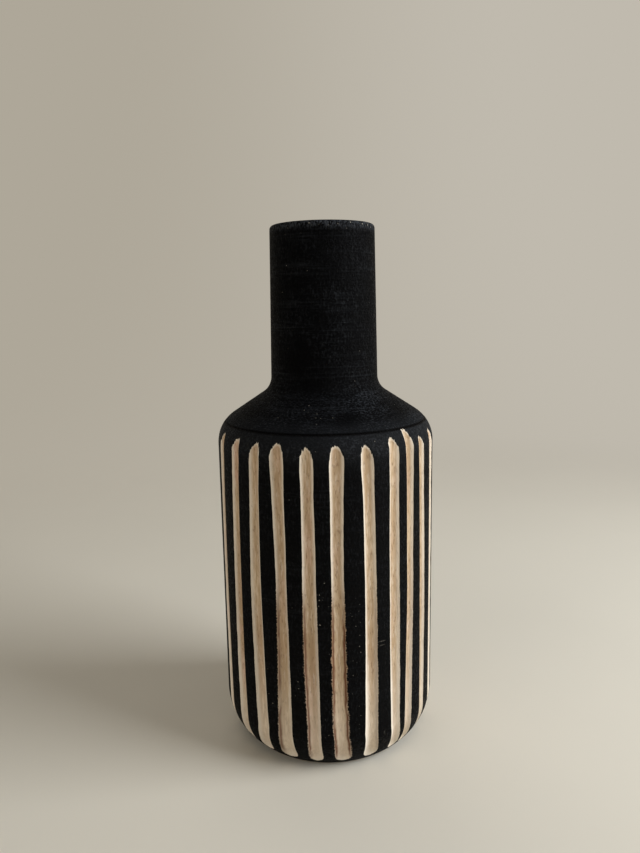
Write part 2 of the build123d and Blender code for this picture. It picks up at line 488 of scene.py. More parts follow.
def vector(x, y, z):
    """Three values as one vector."""
    parts = {"X": x, "Y": y, "Z": z}
    tree = next(part.tree for part in parts.values() if isinstance(part, Value))
    return result(tree, "ShaderNodeCombineXYZ", parts)


def noise(place, scale, detail=2.0):
    """Smooth noise about 0.5."""
    return result(place.tree, "ShaderNodeTexNoise", {"Vector": place, "Scale": scale, "Detail": detail})


def swing(place, scale, detail=2.0):
    """Smooth noise about 0, from about -1 to 1."""
    return (noise(place, scale, detail) - 0.5) * 2.0


def blended(share_value, first, second):
    """From the first number to the second."""
    return (second - first) * share_value + first


# Outlines, drawn as radius and height from the outside down to the foot and back up inside

# Spacings are those of a corner's rounding and of the run after it, where 1 m adds no points
Corner = namedtuple("Corner", "radius height rounding round_spacing run_spacing", defaults=(0.0, 1.0, 1.0))


def straight(start, stop, spacing):
    """Points from start up to, but without, stop."""
    steps = max(1, ceil((stop - start).length / spacing))
    return [start.lerp(stop, step / steps) for step in range(steps)]


def rounded_line(corners):
    """Points along straight runs between corners, with every inner corner rounded as it says."""
    points = []
    last = Vector(corners[0][:2])
    spacing = corners[0].run_spacing
    for before, corner, after in zip(corners, corners[1:], corners[2:]):
        here = Vector(corner[:2])
        back = (Vector(before[:2]) - here).normalized()
        onward = (Vector(after[:2]) - here).normalized()
        half = back.angle(onward) / 2
        start = here + back * (corner.rounding / tan(half))
        points += straight(last, start, spacing)
        if corner.rounding:
            centre = here + (back + onward).normalized() * (corner.rounding / sin(half))
            sweep = (pi - 2 * half) * (1 if back.x * onward.y < back.y * onward.x else -1)
            steps = max(2, ceil(corner.rounding * abs(sweep) / corner.round_spacing))
            for step in range(steps):
                points.append(centre + Matrix.Rotation(sweep * step / steps, 2) @ (start - centre))
        last = here + onward * (corner.rounding / tan(half))
        spacing = corner.run_spacing
    return points + straight(last, Vector(corners[-1][:2]), spacing) + [Vector(corners[-1][:2])]


def cut_at(line, height):
    """The point where a line first passes down through a height, and how many points lie above it."""
    above = next(i for i, point in enumerate(line) if point.y < height and line[i - 1].y >= height)
    share_left = (line[above - 1].y - height) / (line[above - 1].y - line[above].y)
    return line[above - 1].lerp(line[above], share_left), above


def outside_corners(turning):
    """The whole outside from the rim to the foot, as it is turned in one piece."""
    side = turning.barrel_radius
    cone_top = turning.barrel_height + turning.shoulder_rise
    foot_round = (turning.foot_inset**2 + turning.foot_rise**2) / (2 * turning.foot_inset)
    half_sweep = asin(turning.foot_rise / foot_round) / 2
    edge_reach = turning.foot_edge_round * tan(pi / 4 - half_sweep)
    foot_corner = turning.foot_rise - foot_round * tan(half_sweep)
    return [
        Corner(turning.neck_top_radius, RIM_HEIGHT, turning.rim_round, TIP_SPACING, NECK_SPACING),
        Corner(turning.neck_root_radius, cone_top, turning.cove_round, NECK_SPACING, NECK_SPACING),
        Corner(side, turning.barrel_height, turning.shoulder_round, TIP_SPACING, SIDE_SPACING),
        Corner(side, foot_corner, foot_round - edge_reach / tan(half_sweep), FOOT_SPACING, FOOT_SPACING),
        Corner(side - turning.foot_inset, 0, turning.foot_edge_round, EDGE_SPACING, INSIDE_SPACING),
    ]


def barrel_outline(turning):
    """The barrel's section, and how many of its points are on the fluted outside."""
    corners = outside_corners(turning)
    rebate = turning.barrel_radius - turning.foot_inset - turning.ring_width
    opening = rebate - turning.ledge_width
    ledge_top = DISC_TOP + turning.ledge_thickness
    bore = turning.barrel_radius - turning.wall
    inner = [
        Corner(rebate, 0),
        Corner(rebate, DISC_TOP),
        Corner(opening, DISC_TOP),
        Corner(opening, ledge_top),
        Corner(bore, ledge_top, turning.floor_round, BORE_SPACING, INSIDE_SPACING),
        Corner(bore, PARTING_HEIGHT),
    ]
    line = rounded_line(corners[1:] + inner)
    top, above = cut_at(line, PARTING_HEIGHT)
    line = [top] + line[above:]
    outside = next(i for i, point in enumerate(line) if point.y < turning.foot_edge_round / 2)
    return line, outside


def neck_outline(turning):
    """The neck's section from bore and rim to the spigot, and how many of its points lie above the joint."""
    corners = outside_corners(turning)
    lip = Corner(MOUTH_RADIUS, RIM_HEIGHT, turning.lip_round, TIP_SPACING, NECK_SPACING)
    bore_foot = Corner(MOUTH_RADIUS, SPIGOT_FOOT, run_spacing=BORE_SPACING)
    line = rounded_line([bore_foot, lip] + corners[:4])
    bore_rows = next(i for i, point in enumerate(line) if point.x > MOUTH_RADIUS + MERGE_DISTANCE)
    outer, above = cut_at(line[bore_rows:], PARTING_HEIGHT + turning.parting_ease)
    above += bore_rows
    seat_edge = Vector((outer.x, PARTING_HEIGHT))
    spigot = turning.barrel_radius - turning.wall - turning.glue_gap
    under = [
        Corner(*seat_edge, run_spacing=BORE_SPACING),
        Corner(spigot, PARTING_HEIGHT, run_spacing=BORE_SPACING),
        Corner(spigot, SPIGOT_FOOT, run_spacing=BORE_SPACING),
        Corner(MOUTH_RADIUS, SPIGOT_FOOT),
    ]
    return line[:above] + [outer] + rounded_line(under)[:-1], above + 1


def keep_on_points(mesh, name, kind, values):
    """Store one value for each point of a mesh under a name."""
    field = "vector" if kind == "FLOAT_VECTOR" else "value"
    attribute = mesh.attributes.new(name, kind, "POINT")
    for point, value in zip(attribute.data, values):
        setattr(point, field, value)


def linked(name, data):
    """A new object in the scene."""
    made = bpy.data.objects.new(name, data)
    bpy.context.scene.collection.objects.link(made)
    return made


def mesh_object(name, points, faces=()):
    """A new object from points and faces, or of loose points alone."""
    mesh = bpy.data.meshes.new(name)
    mesh.from_pydata(points, [], faces)
    return linked(name, mesh)


def outline_object(name, line, worked, stained):
    """A closed section as loose points, each with its outward direction and its way along the line."""
    piece = mesh_object(name, [(point.x, 0, point.y) for point in line])
    onward = line[1:] + line[:1]
    back = line[-1:] + line[:-1]
    ways = [(after - before).normalized() for before, after in zip(back, onward)]
    runs = [0.0]
    for point, after in zip(line, onward):
        runs.append(runs[-1] + (after - point).length)
    keep_on_points(piece.data, "outward", "FLOAT_VECTOR", [(-way.y, 0, way.x) for way in ways])
    keep_on_points(piece.data, "run", "FLOAT", runs)
    keep_on_points(piece.data, "worked", "FLOAT", [float(worked(row)) for row in range(len(line))])
    keep_on_points(piece.data, "coat", "FLOAT", [float(stained(row)) for row in range(len(line))])
    return piece


# Geometry nodes


def start_tree(name, inputs):
    """A new tree with an outline and further named inputs. Gives the tree and its inputs as values."""
    tree = bpy.data.node_groups.new(name, "GeometryNodeTree")
    tree.interface.new_socket("Outline", in_out="INPUT", socket_type="NodeSocketGeometry")
    for label, kind in inputs.items():
        tree.interface.new_socket(label, in_out="INPUT", socket_type=f"NodeSocket{kind}")
    tree.interface.new_socket("Geometry", in_out="OUTPUT", socket_type="NodeSocketGeometry")
    given = node(tree, "NodeGroupInput")
    return tree, {label: Value(given.outputs[label]) for label in ("Outline", *inputs)}


def named(tree, name, kind):
    """A named attribute of whatever geometry reads it."""
    return result(tree, "GeometryNodeInputNamedAttribute", {"Name": name}, "Attribute", data_type=kind)


def sampled(geometry, field, index, kind):
    """A field of one geometry, read at the points of another."""
    feeds = {"Geometry": geometry, "Value": field, "Index": index}
    return result(geometry.tree, "GeometryNodeSampleIndex", feeds, data_type=kind, domain="POINT", clamp=True)


def point_count(geometry):
    """How many points a geometry has."""
    feeds = {"Geometry": geometry}
    return result(geometry.tree, "GeometryNodeAttributeDomainSize", feeds, "Point Count", component="MESH")


Grid = namedtuple("Grid", "mesh column radius height out_radius out_height run worked coat")


def section_grid(outline, columns):
    """A grid with a column for each step round the axis and a row for each point of the outline."""
    tree = outline.tree
    rows = point_count(outline)
    feeds = {"Vertices X": columns + 1, "Vertices Y": rows + 1}
    mesh = result(tree, "GeometryNodeMeshGrid", feeds, "Mesh")
    index = result(tree, "GeometryNodeInputIndex")
    column = ((index + 0.5) / (rows + 1)).math("FLOOR")
    row = (index - column * (rows + 1)).math("MODULO", rows)
    position = result(tree, "GeometryNodeInputPosition")
    radius, _, height = sampled(outline, position, row, "FLOAT_VECTOR").xyz()
    outward = named(tree, "outward", "FLOAT_VECTOR")
    out_radius, _, out_height = sampled(outline, outward, row, "FLOAT_VECTOR").xyz()
    run, worked, coat = [
        sampled(outline, named(tree, name, "FLOAT"), row, "FLOAT") for name in ("run", "worked", "coat")
    ]
    return Grid(mesh, column, radius, height, out_radius, out_height, run, worked, coat)


def finish_tree(grid, angle, cut, stored, finish):
    """Wrap the grid round the axis, cut it, keep its values for the finish and close its seams."""
    tree = grid.mesh.tree
    radius = grid.radius - grid.out_radius * cut
    height = grid.height - grid.out_height * cut
    place = vector(radius * angle.math("COSINE"), radius * angle.math("SINE"), height)
    mesh = grid.mesh
    for name, (kind, value) in stored.items():
        feeds = {"Geometry": mesh, "Name": name, "Value": value}
        mesh = result(tree, "GeometryNodeStoreNamedAttribute", feeds, data_type=kind, domain="POINT")
    mesh = result(tree, "GeometryNodeSetPosition", {"Geometry": mesh, "Position": place})
    for kind, feeds in (
        ("GeometryNodeMergeByDistance", {"Distance": MERGE_DISTANCE}),
        ("GeometryNodeFlipFaces", {}),
        ("GeometryNodeSetShadeSmooth", {}),
        ("GeometryNodeRealizeInstances", {}),
        ("GeometryNodeSetMaterial", {"Material": finish}),
    ):
        mesh = result(tree, kind, {0: mesh, **feeds})
    node(tree, "NodeGroupOutput", {"Geometry": mesh})


Flute = namedtuple("Flute", "middle left right depth power tip_rise lean closing stain")


def flute_here(marks, which, grid, given):
    """One flute at this row: the angle of its middle, its half widths, its depth and how far it is closed."""
    tree = marks.tree
    course, section, ends, stain = [
        sampled(marks, named(tree, name, "FLOAT_VECTOR"), which, "FLOAT_VECTOR")
        for name in ("course", "section", "ends", "stain")
    ]
    angle, drift, bow = course.xyz()
    width, pinch, taper = section.xyz()
    lift, lean, slip = ends.xyz()
    _, left_burnish_and_highlight, right_burnish = stain.xyz()
    cut_id = which.math("MODULO", point_count(marks) - 1) * FLUTE_STEP
    high = (grid.height / given["Barrel Height"]).clamped()
    bulge = 1 - (high * 2 - 1) ** 2
    sway = swing(vector(cut_id, grid.height, 0.0), SWAY_SCALE) * given["Sway"]
    near_foot = (1 - grid.height / given["Flare Rise"]).clamped()
    aside = drift * (0.5 - high) + bow * (bulge - MEAN_BULGE) + sway + slip * near_foot
    middle = angle + aside / given["Barrel Radius"]

    # Width: a pinch at half height, a swell under the tip and a flare at the foot
    tip_start = given["Rounding Start"] + lift
    from_swell = (grid.height - tip_start + SWELL_DROP).math("ABSOLUTE")
    near_tip = (1 - from_swell / SWELL_REACH).at_least(0.0)
    spread = 1 - pinch * (bulge * bulge - MEAN_SQUARE_BULGE) + taper * (1 - high * 2)
    spread = spread + near_tip * given["Swell"] + near_foot**2.0 * given["Flare"]
    half = width * 0.5 * spread
    depth = given["Depth"] * spread
    low = (TEAR_TOP_SHARE - high).eased(0.0, 0.25)
    edges = []
    for side, burnish in ((-1.0, left_burnish_and_highlight), (1.0, right_burnish)):
        along = vector(cut_id + side, grid.height, side)
        waver = swing(along, WAVER_SCALE) * given["Waver"]
        torn = (swing(along, TEAR_SCALE, 3.0) + 0.4).at_least(0.0) * burnish.at_least(0.0)
        torn = torn * low * given["Tear"]
        edges.append(half + waver + torn)

    # The gouge runs straight out where the shoulder rounds in, and lifts out over a short end at the foot
    past = (grid.height - tip_start).at_least(0.0)
    reach = given["Shoulder Round"]
    run_out = reach - (reach * reach - past * past).at_least(0.0) ** 0.5
    running_out = (grid.height - tip_start).eased(*TIP_BLEND)
    power = blended(running_out, given["Steepness"], given["Tip Steepness"])
    end = ((grid.run - given["End Start"]) / given["End Run"]).at_least(0.0)
    chatter = swing(vector(cut_id, grid.height, 1.0), CHATTER_SCALE, 3.0) * given["Chatter"]
    return Flute(middle, *edges, depth, power, run_out, lean, depth * end**END_POWER + chatter, stain)


def gouged(flute, across, side):
    """How deep a flute is cut at a share of its half width, to the left with a side of -1."""
    tip = flute.tip_rise * (1 - flute.lean * across * side).at_least(LEAST_TIP_SHARE)
    return flute.depth * (1 - across**flute.power) - tip - flute.closing


# Inputs of the barrel's tree that are properties of the same name
TURNING_INPUTS = ("Barrel Radius", "Barrel Height", "Shoulder Round")
FLUTE_INPUTS = (
    "Depth", "Steepness", "Tip Steepness", "Swell", "Flare", "Flare Rise", "End Run",
    "Sway", "Waver", "Tear", "Chatter",
)
BARREL_INPUTS = {
    "Flute Marks": "Object",
    "Finish": "Material",
    **dict.fromkeys((*TURNING_INPUTS, *FLUTE_INPUTS, "Rounding Start", "End Start"), "Float"),
}


def labelled(group, labels):
    """A group's values under the labels of a tree's inputs."""
    return {label: getattr(group, label.lower().replace(" ", "_")) for label in labels}


def barrel_tree():
    """Nodes that wrap the barrel's section round the axis and gouge a flute at every mark."""
    tree, given = start_tree("fluted_barrel", BARREL_INPUTS)
    marks = result(tree, "GeometryNodeObjectInfo", {"Object": given["Flute Marks"]}, "Geometry")
    grid = section_grid(given["Outline"], (point_count(marks) - 1) * SECTOR_COLUMNS)
    sector = ((grid.column + 0.5) / SECTOR_COLUMNS).math("FLOOR")
    step = grid.column - sector * SECTOR_COLUMNS
    before = flute_here(marks, sector, grid, given)
    after = flute_here(marks, sector + 1, grid, given)

    # Columns: closer together towards a flute's edges, on both sides of the ridge
    radius = given["Barrel Radius"] + (grid.radius - given["Barrel Radius"]) * grid.worked
    ridge = (before.middle + after.middle) * 0.5
    least = LEAST_RIDGE / 2 / radius
    edge_before = (before.middle + before.right / radius).at_most(ridge - least)
    edge_after = (after.middle - after.left / radius).at_least(ridge + least)
    quarter = pi / 2 / FLANK_COLUMNS
    out_of = (step * quarter).at_most(pi / 2).math("SINE")
    into = ((SECTOR_COLUMNS - step) * quarter).at_most(pi / 2).math("SINE")
    over = ((step - FLANK_COLUMNS) / RIDGE_COLUMNS).clamped()
    over = 0.5 - (over * pi).math("COSINE") * 0.5
    angle = (
        before.middle
        + (edge_before - before.middle) * out_of
        + (edge_after - edge_before) * over
        + (after.middle - edge_after) * (1 - into)
    )

    # Section of each flute, and the deeper of the two cuts
    across_before = ((angle - before.middle) * radius).at_least(0.0) / before.right
    across_after = ((after.middle - angle) * radius).at_least(0.0) / after.left
    cut = gouged(before, across_before, 1.0).at_least(gouged(after, across_after, -1.0)).at_least(UNCUT)
    cut = UNCUT + (cut - UNCUT) * grid.worked
    feeds = {"A": step, "B": SECTOR_COLUMNS / 2}
    nearer = result(tree, "FunctionNodeCompare", feeds, data_type="FLOAT", operation="LESS_THAN")
    across = nearer * (across_before + across_after) - across_after
    feeds = {"Switch": nearer, "False": after.stain, "True": before.stain}
    stain = result(tree, "GeometryNodeSwitch", feeds, input_type="VECTOR")
    stored = {
        "cut": ("FLOAT", cut),
        "across": ("FLOAT", across),
        "coat": ("FLOAT", grid.coat),
        "run": ("FLOAT", grid.run),
        "stain": ("FLOAT_VECTOR", stain),
    }
    finish_tree(grid, angle, cut.at_least(0.0), stored, given["Finish"])
    return tree


def neck_tree():
    """Nodes that turn the neck's section round the axis, with the ripple that the tool leaves."""
    tree, given = start_tree("turned_neck", {"Finish": "Material", "Columns": "Int", "Ripple": "Float"})
    grid = section_grid(given["Outline"], given["Columns"])
    angle = grid.column * (2 * pi) / given["Columns"]
    round_way = vector(angle.math("COSINE") * RIPPLE_RING, angle.math("SINE") * RIPPLE_RING, grid.run)
    ripple = swing(round_way, RIPPLES, 3.0) * given["Ripple"]
    cut = (ripple + given["Ripple"]).at_least(0.0) * grid.worked
    stored = {"run": ("FLOAT", grid.run), "coat": ("FLOAT", grid.coat)}
    finish_tree(grid, angle, cut, stored, given["Finish"])
    return tree


def made_plain(piece, tree, settings):
    """Run a tree on a piece with its inputs set, and keep the result as a plain mesh."""
    modifier = piece.modifiers.new(tree.name, "NODES")
    modifier.node_group = tree
    for item in tree.interface.items_tree:
        if item.in_out == "INPUT" and item.name in settings:
            modifier[item.identifier] = settings[item.name]
    depsgraph = bpy.context.evaluated_depsgraph_get()
    mesh = bpy.data.meshes.new_from_object(
        piece.evaluated_get(depsgraph), preserve_all_data_layers=True, depsgraph=depsgraph
    )
    piece.modifiers.remove(modifier)
    section = piece.data
    piece.data = mesh
    mesh.name = piece.name
    bpy.data.meshes.remove(section)
    if not mesh.polygons:
        raise RuntimeError(f"{tree.name} made no faces")


# Finishes


def new_finish(name):
    """An empty node material. Gives the material and its tree."""
    finish = bpy.data.materials.new(name)
    finish.use_nodes = True
    finish.node_tree.nodes.clear()
    return finish, finish.node_tree


def object_place(tree):
    """Object coordinates, which are metres in the shared frame."""
    return result(tree, "ShaderNodeTexCoord", output="Object")


def stored_value(tree, name):
    """A value that the geometry nodes left on the mesh."""
    return result(tree, "ShaderNodeAttribute", output="Fac", attribute_name=name)


def stretched(place, x, y, z):
    """Coordinates drawn out so that a texture runs along an axis."""
    feeds = {"Vector": place, "Scale": (x, y, z)}
    return result(place.tree, "ShaderNodeMapping", feeds, vector_type="POINT")


def how_far(place):
    """The distance from the origin."""
    return result(place.tree, "ShaderNodeVectorMath", {0: place}, "Value", operation="LENGTH")


def opaque(paint):
    """A colour with its alpha, or a value as it is."""
    return paint if isinstance(paint, Value) else (*paint, 1.0)


def mixed(share_value, first, second):
    """From the first colour to the second."""
    feeds = {0: share_value, 6: opaque(first), 7: opaque(second)}
    return result(share_value.tree, "ShaderNodeMix", feeds, 2, data_type="RGBA")


def specks(place, scale, size, few):
    """Small round specks of up to the given size in a cell, in the given few of the cells."""
    made = node(place.tree, "ShaderNodeTexVoronoi", {"Vector": place, "Scale": scale})
    distance, cell = Value(made.outputs["Distance"]), Value(made.outputs["Color"])
    lot, big, _ = cell.xyz()
    dot = 1 - (distance / (big * size + size * 0.4)).clamped()
    return dot.eased(0.0, 0.6) * lot.eased(1 - few, 1.01 - few)


def grain(place, squeeze, scale, detail):
    """Noise about 0.5 that is drawn out along Z."""
    return noise(stretched(place, 1, 1, squeeze), scale, detail)


def bare_wood(place, colours, pinkness):
    """Colour and relief of bare wood that grew along Z."""
    bands, fibres = grain(place, *BANDS), grain(place, *FIBRES)
    pores = grain(place, *PORES).eased(0.57, 0.70)
    pink = grain(place, *PINK_STREAKS).eased(0.42, 0.68) * pinkness
    paint = mixed(bands.eased(0.3, 0.7), colours.wood, colours.deep_wood)
    paint = mixed(pink, paint, colours.pink_wood)
    paint = mixed(fibres.eased(0.42, 0.64) * 0.8, paint, colours.deep_wood)
    paint = mixed((1 - fibres).eased(0.54, 0.72) * 0.45, paint, colours.pale_wood_and_light)
    paint = mixed(pores * 0.45, paint, colours.pores)
    return paint, fibres * 0.8 - pores * 0.8


def raw_wood(place, colours):
    """Colour of the unfinished wood inside."""
    return mixed(noise(place, RAW_CLOUDS, 3.0), colours.inside, colours.deep_wood)


def patch(place, angle, height, wide, tall, radius):
    """1 in the middle of a patch at a radius from the axis, falling to 0 at its border."""
    turn_to = radians(angle - 90)
    middle = Vector((radius * cos(turn_to), radius * sin(turn_to), height))
    feeds = {"Vector": place, "Location": middle, "Rotation": (0, 0, turn_to), "Scale": (wide, wide, tall)}
    shifted = result(place.tree, "ShaderNodeMapping", feeds, vector_type="TEXTURE")
    return 1 - how_far(shifted).eased(0.0, 1.0)


def black_stain(place, run, colours, lathe_share, rough_share):
    """Colour, roughness and relief of the stained surface: grain along Z and tool marks round the axis."""
    x, y, _ = place.xyz()
    round_way = vector(x * LATHE_SQUEEZE, y * LATHE_SQUEEZE, run)
    marks = noise(round_way, TOOL_MARKS, 3.0)
    sweeps = noise(round_way, TOOL_SWEEPS)
    streaks = grain(place, *STAIN_STREAKS)
    clouds = noise(place, CLOUDS, 3.0)
    brushed = noise(vector(x * BRUSH_SQUEEZE, y * BRUSH_SQUEEZE, run), BRUSHED, 4.0)
    grit = (streaks.eased(0.42, 0.7) + brushed.eased(0.42, 0.7)) * 0.5
    lines = marks.eased(0.46, 0.72) * sweeps.eased(0.38, 0.62) * lathe_share
    wear = streaks.eased(0.5, 0.7) * 0.3 + lines + brushed.eased(0.48, 0.68) * rough_share
    wear = (wear * clouds.eased(0.25, 0.65)).clamped()
    dots = specks(place, *STAIN_SPECKS)
    paint = mixed(wear * 0.55, colours.stain, colours.worn_stain_and_sheen)
    paint = mixed(dots * 0.5, paint, colours.dust)
    rough = 0.7 - grit * 0.36 + clouds * 0.08
    return paint, rough, (streaks + marks + brushed) * 1.5


def write_surface(tree, paint, rough, relief, *, gloss, relief_depth):
    """The shader and the output of a finish."""
    bump = result(tree, "ShaderNodeBump", {"Height": relief, "Strength": 0.8, "Distance": relief_depth})
    feeds = {"Base Color": paint, "Roughness": rough, "Specular IOR Level": gloss, "Normal": bump}
    shader = result(tree, "ShaderNodeBsdfPrincipled", feeds)
    node(tree, "ShaderNodeOutputMaterial", {"Surface": shader})


def fluted_finish(colours, barrel_radius):
    """Black stain on the ridges, cut through to bare wood in the flutes."""
    finish, tree = new_finish("stained_and_fluted_wood")
    place = object_place(tree)
    cut, across, coat, run = [stored_value(tree, name) for name in ("cut", "across", "coat", "run")]
    stain = result(tree, "ShaderNodeAttribute", output="Vector", attribute_name="stain")
    pinkness, left_burnish_and_highlight, right_burnish = stain.xyz()
    _, _, height = place.xyz()
    wall = blended(across.eased(-0.05, 0.05), left_burnish_and_highlight, right_burnish)
    burnish = wall.at_least(0.0) * (1 - height.eased(*BURNISH_TOP)) * height.eased(*BURNISH_START)

    # Where the gouge has gone through, with frayed tips and torn edges
    shoulder = height.eased(*SHOULDER_START)
    fray = (grain(place, *FRAYED_EDGE) - 0.5) * ((shoulder + 0.4) * FRAY_DEPTH)
    chips = noise(place, CHIPS).eased(0.45, 0.7) * burnish * CHIP_DEPTH
    bare = (cut + fray + chips).eased(*BARE_CUT)

    # Bare wood: pale edges and ends, pale fibres and brown lines where the gouge rubbed, with painted light
    # low down
    wood, wood_relief = bare_wood(place, colours, pinkness)
    aside = across.math("ABSOLUTE")
    # Thin cuts near the shoulder are pale; the flutes' lower ends are painted lighter where they turn down
    # into shade
    ends = ((1 - cut.eased(*THIN_CUT)) * shoulder).at_least(1 - height.eased(*FLUTE_END_LIGHT))
    # Pale fresh edges, painted broader low down as a highlight where the key lamp lights the walls
    low = 1 - height.eased(*LIT_EDGE_TOP)
    pale = (aside.eased(0.35, 0.85) * (low * 0.4 + 0.6)).at_least(ends * 0.85)
    wood = mixed(pale * (1 - burnish).clamped(), wood, colours.pale_wood_and_light)
    # Painted highlight: some flutes' left walls are lightened low down, as if lit by the key lamp
    lit_wall_highlight = (-wall).clamped() * (1 - height.eased(*LIT_WALL_TOP))
    fibres = blended(lit_wall_highlight, aside.eased(0.62, 0.9) * 0.45, aside.eased(0.05, 0.6) * 0.9)
    wood = mixed(fibres * (1 - burnish * 1.5).clamped(), wood, colours.edge_fibres_and_highlight)
    # Painted light: the wood lightens towards the foot, for light bounced up from the floor
    wood = mixed((1 - height.eased(*FOOT_BOUNCE_LIGHT)) * 0.52, wood, colours.pale_wood_and_light)
    rubbed = aside + (grain(place, *BURNISHED_EDGE) - 0.5) * 0.35
    rubbed = rubbed.eased(0.5, 0.84) * (1 - rubbed.eased(0.86, 0.98) * 0.55)
    patchy = grain(place, *BURNISHED_SPOTS).eased(0.15, 0.5)
    wood = mixed(rubbed * burnish * patchy, wood, colours.burnish)

    # Stain on the ridges, with dust and scuffs, and raw wood inside
    black, black_rough, black_relief = black_stain(place, run, colours, 0.2, shoulder * 0.7)
    # Painted sheen: a lighter bluish band on the shoulder's rounding below the joint
    black = mixed(height.eased(*SHOULDER_SHEEN_BAND) * 0.16, black, colours.worn_stain_and_sheen)
    black = mixed((height - PARTING_HEIGHT).eased(*BARREL_JOINT), black, colours.stain)
    dusty = [patch(place, *where, barrel_radius).eased(0.0, 0.5) for where in DUSTY]
    dusty = specks(place, *RIDGE_DUST) * sum(dusty).clamped()
    black = mixed(dusty * 0.8, black, colours.dust)
    for where in SCUFFS:
        scuff = patch(place, *where, barrel_radius).eased(0.1, 0.9) * noise(place, SCUFFED).eased(0.3, 0.7)
        black = mixed(scuff * 0.2, black, colours.dust)
    black = mixed(coat, raw_wood(place, colours), black)

    paint = mixed(bare, black, wood)
    rough = blended(bare, black_rough, BARE_ROUGHNESS)
    relief = blended(bare, black_relief, wood_relief)
    write_surface(tree, paint, rough, relief, gloss=0.055, relief_depth=0.25 * MM)
    return finish


def neck_finish(colours, turning):
    """Black stain with tool marks, worn at the rim, with painted sheen above the joint and a painted
    highlight on the cone's lit side, and raw wood down the bore.
    """
    finish, tree = new_finish("stained_neck_wood")
    place = object_place(tree)
    coat, run = stored_value(tree, "coat"), stored_value(tree, "run")
    x, y, height = place.xyz()
    cone_top = turning.barrel_height + turning.shoulder_rise
    above_joint = height - PARTING_HEIGHT
    cone = 1 - (height - cone_top).eased(*CONE_END)
    edge = 1 - above_joint.eased(*NECK_SHEEN_BAND)
    # Painted highlight: stronger wear texture on the cone's right, where the key lamp lights it
    rubbed = patch(place, *LIT_CONE_PATCH).eased(0.0, 0.6) * 1.4
    brushed = cone * 0.5 + edge * 0.3 + rubbed + 0.16
    black, rough, relief = black_stain(place, run, colours, 0.38, brushed)
    # Painted sheen on the band just above the joint
    black = mixed(edge * 0.16, black, colours.worn_stain_and_sheen)
    dusty = specks(place, *CONE_DUST) * patch(place, *DUSTY_CONE).eased(0.0, 0.5)
    black = mixed(dusty * 0.8, black, colours.dust)
    black = mixed(1 - above_joint.eased(*NECK_JOINT), black, colours.stain)
    from_axis = (x * x + y * y) ** 0.5
    outer_edge = (from_axis - turning.neck_top_radius).eased(*RIM_EDGE)
    rim = (height - RIM_HEIGHT).eased(*RIM_START) * (outer_edge * 0.75 + 0.25)
    worn = rim * grain(place, *RIM_WEAR).eased(0.4, 0.62)
    black = mixed(worn, black, colours.worn_stain_and_sheen)
    black = mixed(rim * specks(place, *RIM_SPECKS) * 0.5, black, colours.dust)
    stained = (coat + (noise(place, STAIN_BORDER, 3.0) - 0.5) * 0.6).eased(0.35, 0.65)
    paint = mixed(stained, raw_wood(place, colours), black)
    write_surface(tree, paint, rough, relief, gloss=0.03, relief_depth=0.35 * MM)
    return finish


def disc_finish(colours):
    """Bare sanded board: its grain runs along X, with arched growth rings."""
    finish, tree = new_finish("bare_disc_wood")
    place = object_place(tree)
    feeds = {"Vector": place, "Rotation": (0, pi / 2, 0)}
    turned = result(tree, "ShaderNodeMapping", feeds, vector_type="POINT")
    wood, relief = bare_wood(turned, colours, 0.4)
    squeeze, scale, count = GROWTH_RINGS
    rings = (noise(stretched(place, squeeze, 1, 1), scale) * count).math("FRACT").eased(0.55, 1.0)
    wood = mixed(rings * 0.45, wood, colours.deep_wood)
    write_surface(tree, wood, BARE_ROUGHNESS, relief, gloss=0.05, relief_depth=0.2 * MM)
    return finish


def stage_finish(stage):
    """Pale floor that takes the vase's shadow, and further out a glowing backdrop, painted lighter on the key
    lamp's side.
    """
    finish, tree = new_finish("pale_stage")
    place = object_place(tree)
    darker = tuple(channel * FLOOR_SHADE for channel in stage.floor)
    paint = mixed(noise(place, FLOOR_CLOUDS), stage.floor, darker)
    floor = result(tree, "ShaderNodeBsdfPrincipled", {"Base Color": paint, "Roughness": FLOOR_ROUGHNESS})
    across, _, _ = place.xyz()
    # Painted light: the backdrop glows lighter on the key lamp's side and darker on the other
    tone = mixed(across.eased(-BACKDROP_REACH, BACKDROP_REACH), stage.dark_side, stage.light_side)
    backdrop = result(tree, "ShaderNodeEmission", {"Color": tone})
    ray = node(tree, "ShaderNodeLightPath")
    rays = [Value(ray.outputs[f"Is {kind} Ray"]) for kind in ("Camera", "Glossy", "Transmission")]
    share_seen = sum(rays).clamped() * how_far(place).eased(*FLOOR_FADE)
    shown = result(tree, "ShaderNodeMixShader", {0: share_seen, 1: floor, 2: backdrop})
    node(tree, "ShaderNodeOutputMaterial", {"Surface": shown})
    return finish


# Operators


def settle(piece, nodes):
    """Fix a piece to the vase's one body, in the place of the solids that it stands for."""
    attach(piece, "root")
    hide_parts(*nodes)


